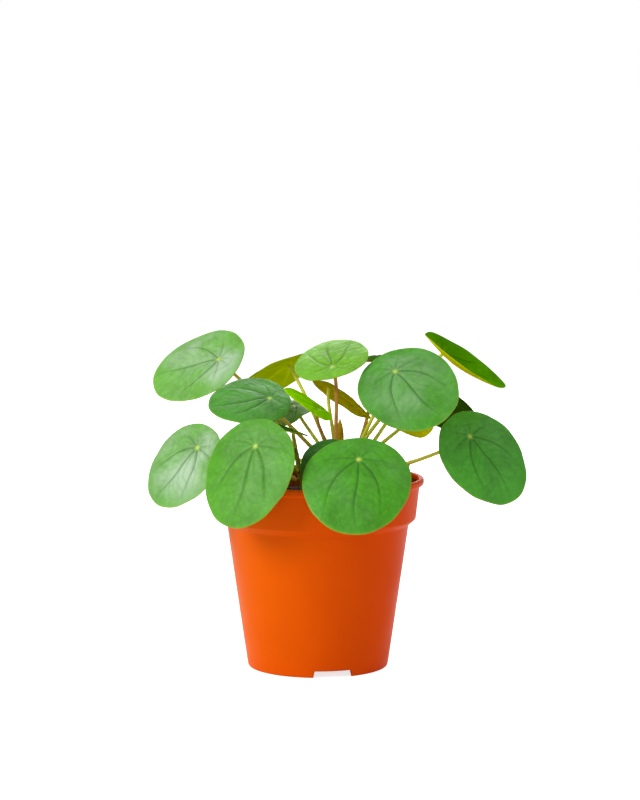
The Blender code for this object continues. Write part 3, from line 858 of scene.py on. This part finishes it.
def bark_material(name, pale, dark, rough=0.6):
    """Skin of a stem, sheath or dry stub: two colours mixed in streaks."""
    material, nodes, shader = new_material(name)
    where = nodes.add("ShaderNodeTexCoord").outputs["Object"]
    streak = nodes.noise(where, 330.0, 4.0, 0.65)
    nodes.feed(nodes.mix(nodes.band(streak, 0.35, 0.68), pale, dark), shader.inputs["Base Color"])
    shader.inputs["Roughness"].default_value = rough
    shader.inputs["Specular IOR Level"].default_value = 0.10
    add_bump(nodes, shader, streak, 0.0003, 0.7)
    return material


# ---------------------------------------------------------------- stage


def white_surround(name):
    """A pale matt floor that shows pure white to the camera except where a shadow falls."""
    material, nodes, shader = new_material(name)
    shader.inputs["Base Color"].default_value = (0.9, 0.9, 0.9, 1.0)
    shader.inputs["Roughness"].default_value = 0.9
    shader.inputs["Emission Color"].default_value = (1, 1, 1, 1)
    path = nodes.add("ShaderNodeLightPath")
    seen = nodes.math("MAXIMUM", path.outputs["Is Camera Ray"], path.outputs["Is Glossy Ray"])
    nodes.feed(nodes.math("MULTIPLY", seen, 0.75), shader.inputs["Emission Strength"])
    return material


def set_world(scene):
    """An even pale light from all round, and pure white where the camera sees it."""
    world = bpy.data.worlds.new("surround")
    world.use_nodes = True
    scene.world = world
    nodes = Nodes(world.node_tree)
    back = world.node_tree.nodes["Background"]
    back.inputs["Color"].default_value = (1, 1, 1, 1)
    path = nodes.add("ShaderNodeLightPath")
    seen = nodes.math("MAXIMUM", path.outputs["Is Camera Ray"], path.outputs["Is Transmission Ray"])
    nodes.feed(nodes.band(seen, 0.0, 1.0, 0.50, 1.0), back.inputs["Strength"])


def add_lamp(name, place, aim_height, size, power):
    """A soft square lamp that faces a point on the Z axis."""
    lamp = bpy.data.lights.new(name, "AREA")
    lamp.size = size
    lamp.energy = power
    item = bpy.data.objects.new(name, lamp)
    item.location = place
    item.rotation_euler = (Vector((0, 0, aim_height)) - Vector(place)).to_track_quat("-Z", "Y").to_euler()
    bpy.context.scene.collection.objects.link(item)


# ---------------------------------------------------------------- operators


def get_group(name, maker):
    """The shared node group of that name, made when it isn't there yet."""
    return bpy.data.node_groups.get(name) or maker()


class PotSizes(bpy.types.PropertyGroup):
    """Colours and roughness of the pot that a user may change."""

    plastic: FloatVectorProperty(
        name="Plastic", description="Colour of the pot's plastic", subtype="COLOR", size=4,
        default=(0.80, 0.070, 0.0, 1.0), min=0.0, max=1.0)
    # Painted light: the colour painted on the pot's left side, where the key lamp falls.
    painted_lit_side: FloatVectorProperty(
        name="Painted lit side", description="Colour of the plastic on its lamplit side", subtype="COLOR", size=4,
        default=(0.84, 0.130, 0.0, 1.0), min=0.0, max=1.0)
    roughness: FloatProperty(
        name="Roughness", description="How dull the plastic is", default=0.42, min=0.0, max=1.0,
        subtype="FACTOR")


class StageSizes(bpy.types.PropertyGroup):
    """Camera values that a user may change."""

    distance: FloatProperty(
        name="Distance", description="From the pot's axis to the camera", default=1.25, unit="LENGTH")
    eye_height: FloatProperty(
        name="Eye height", description="Height of the camera above the floor", default=0.264,
        unit="LENGTH")
    pitch: FloatProperty(
        name="Pitch", description="How far the camera looks down", default=0.0905, subtype="ANGLE")
    lens: FloatProperty(name="Lens", description="Focal length in millimetres", default=100.3)


class PILEA_OT_leaves(bpy.types.Operator):
    """Build every leaf blade as a fine, veined surface"""

    bl_idname = "pilea.leaves"
    bl_label = "Leaves"

    def execute(self, context):
        group = get_group("leaf skin", leaf_skin_group)
        for name in leaf_names():
            piece = blade_surface(name)
            piece.data.materials.append(leaf_material(name, group))
            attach(piece, BODY)
            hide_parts("blade_" + name)
        return {"FINISHED"}


class PILEA_OT_stalks(bpy.types.Operator):
    """Build every leaf stalk as a smooth tube"""

    bl_idname = "pilea.stalks"
    bl_label = "Stalks"

    def execute(self, context):
        group = get_group("stalk skin", stalk_skin_group)
        for name in leaf_names():
            piece = stalk_surface(name)
            piece.data.materials.append(stalk_material(name, group))
            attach(piece, BODY)
            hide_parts("stalk_" + name)
        return {"FINISHED"}


class PILEA_OT_pot(bpy.types.Operator):
    """Build the pot as one rounded moulding"""

    bl_idname = "pilea.pot"
    bl_label = "Pot"

    def execute(self, context):
        piece = pot_surface()
        piece.data.materials.append(plastic_material(context.scene.pilea_pot))
        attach(piece, BODY)
        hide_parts("pot")
        return {"FINISHED"}


class PILEA_OT_soil(bpy.types.Operator):
    """Build the soil and its crumbs"""

    bl_idname = "pilea.soil"
    bl_label = "Soil"

    def execute(self, context):
        mound = soil_surface()
        mound.data.materials.append(soil_material())
        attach(mound, BODY)
        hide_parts("soil")
        crumbs = soil_crumbs(np.random.default_rng(11))
        crumbs.data.materials.append(crumb_material())
        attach(crumbs, BODY)
        return {"FINISHED"}


class PILEA_OT_stems(bpy.types.Operator):
    """Build both stems and the dry sheath"""

    bl_idname = "pilea.stems"
    bl_label = "Stems"

    def execute(self, context):
        brown = bark_material("stem_bark", linear(138, 124, 60), linear(84, 60, 34))
        green = bark_material("side_stem_skin", linear(132, 160, 44), linear(104, 120, 40), 0.5)
        olive = bark_material("sheath_skin", linear(206, 174, 20), linear(160, 124, 12), 0.55)
        pieces = (
            (stem_surface("main_stem", "main_stem_bark"), "main_stem", "stem", brown),
            (stem_surface("side_stem", "side_stem_skin"), "side_stem", "stem", green),
            (sheath_surface(), "leaf_sheath", "sheath", olive),
        )
        for piece, node, slot, material in pieces:
            piece.data.materials.append(material)
            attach(piece, BODY)
            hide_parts(node)
        return {"FINISHED"}


class PILEA_OT_stage(bpy.types.Operator):
    """Set the floor, the backdrop, the lights and the camera"""

    bl_idname = "pilea.stage"
    bl_label = "Stage"

    def execute(self, context):
        sizes = context.scene.pilea_stage
        scene = context.scene
        scene.view_settings.view_transform = "Standard"
        white = white_surround("stage_white")
        ground = np.array([[-4, -4, 0], [4, -4, 0], [4, 4, 0], [-4, 4, 0]], dtype=float)
        floor = add_piece("floor", ground, np.array([[0, 1, 2, 3]]))
        floor.data.materials.append(white)
        set_world(scene)
        for lamp in LAMPS:
            add_lamp(*lamp)
        camera = bpy.data.objects.new("camera", bpy.data.cameras.new("camera"))
        camera.data.lens = sizes.lens
        camera.data.sensor_width = 36.0
        camera.location = (0.0012, -sizes.distance, sizes.eye_height)
        camera.rotation_euler = (np.pi / 2 - sizes.pitch, 0, 0)
        scene.collection.objects.link(camera)
        scene.camera = camera
        return {"FINISHED"}


class PILEA_PT_panel(bpy.types.Panel):
    """Sidebar panel that lists the pilea's sizes and its build steps"""

    bl_idname = "PILEA_PT_panel"
    bl_label = "Pilea"
    bl_space_type = "VIEW_3D"
    bl_region_type = "UI"
    bl_category = "Pilea"

    def draw(self, context):
        layout = self.layout
        for owner, labels in (
                (context.scene.pilea_pot, ("plastic", "painted_lit_side", "roughness")),
                (context.scene.pilea_stage, ("distance", "eye_height", "pitch", "lens"))):
            for label in labels:
                layout.prop(owner, label)
        for step in STEPS:
            layout.operator(step.bl_idname)


STEPS = (PILEA_OT_pot, PILEA_OT_soil, PILEA_OT_stems, PILEA_OT_leaves, PILEA_OT_stalks, PILEA_OT_stage)
CLASSES = (PotSizes, StageSizes) + STEPS + (PILEA_PT_panel,)


def register():
    """Register the classes and the scene's settings."""
    for item in CLASSES:
        bpy.utils.register_class(item)
    bpy.types.Scene.pilea_pot = PointerProperty(type=PotSizes)
    bpy.types.Scene.pilea_stage = PointerProperty(type=StageSizes)


def unregister():
    """Take the settings and the classes away again."""
    del bpy.types.Scene.pilea_stage
    del bpy.types.Scene.pilea_pot
    for item in reversed(CLASSES):
        bpy.utils.unregister_class(item)


def main():
    """Build every piece and the stage."""
    register()
    bpy.ops.pilea.pot()
    bpy.ops.pilea.soil()
    bpy.ops.pilea.stems()
    bpy.ops.pilea.leaves()
    bpy.ops.pilea.stalks()
    bpy.ops.pilea.stage()


if __name__ == "__main__":
    main()
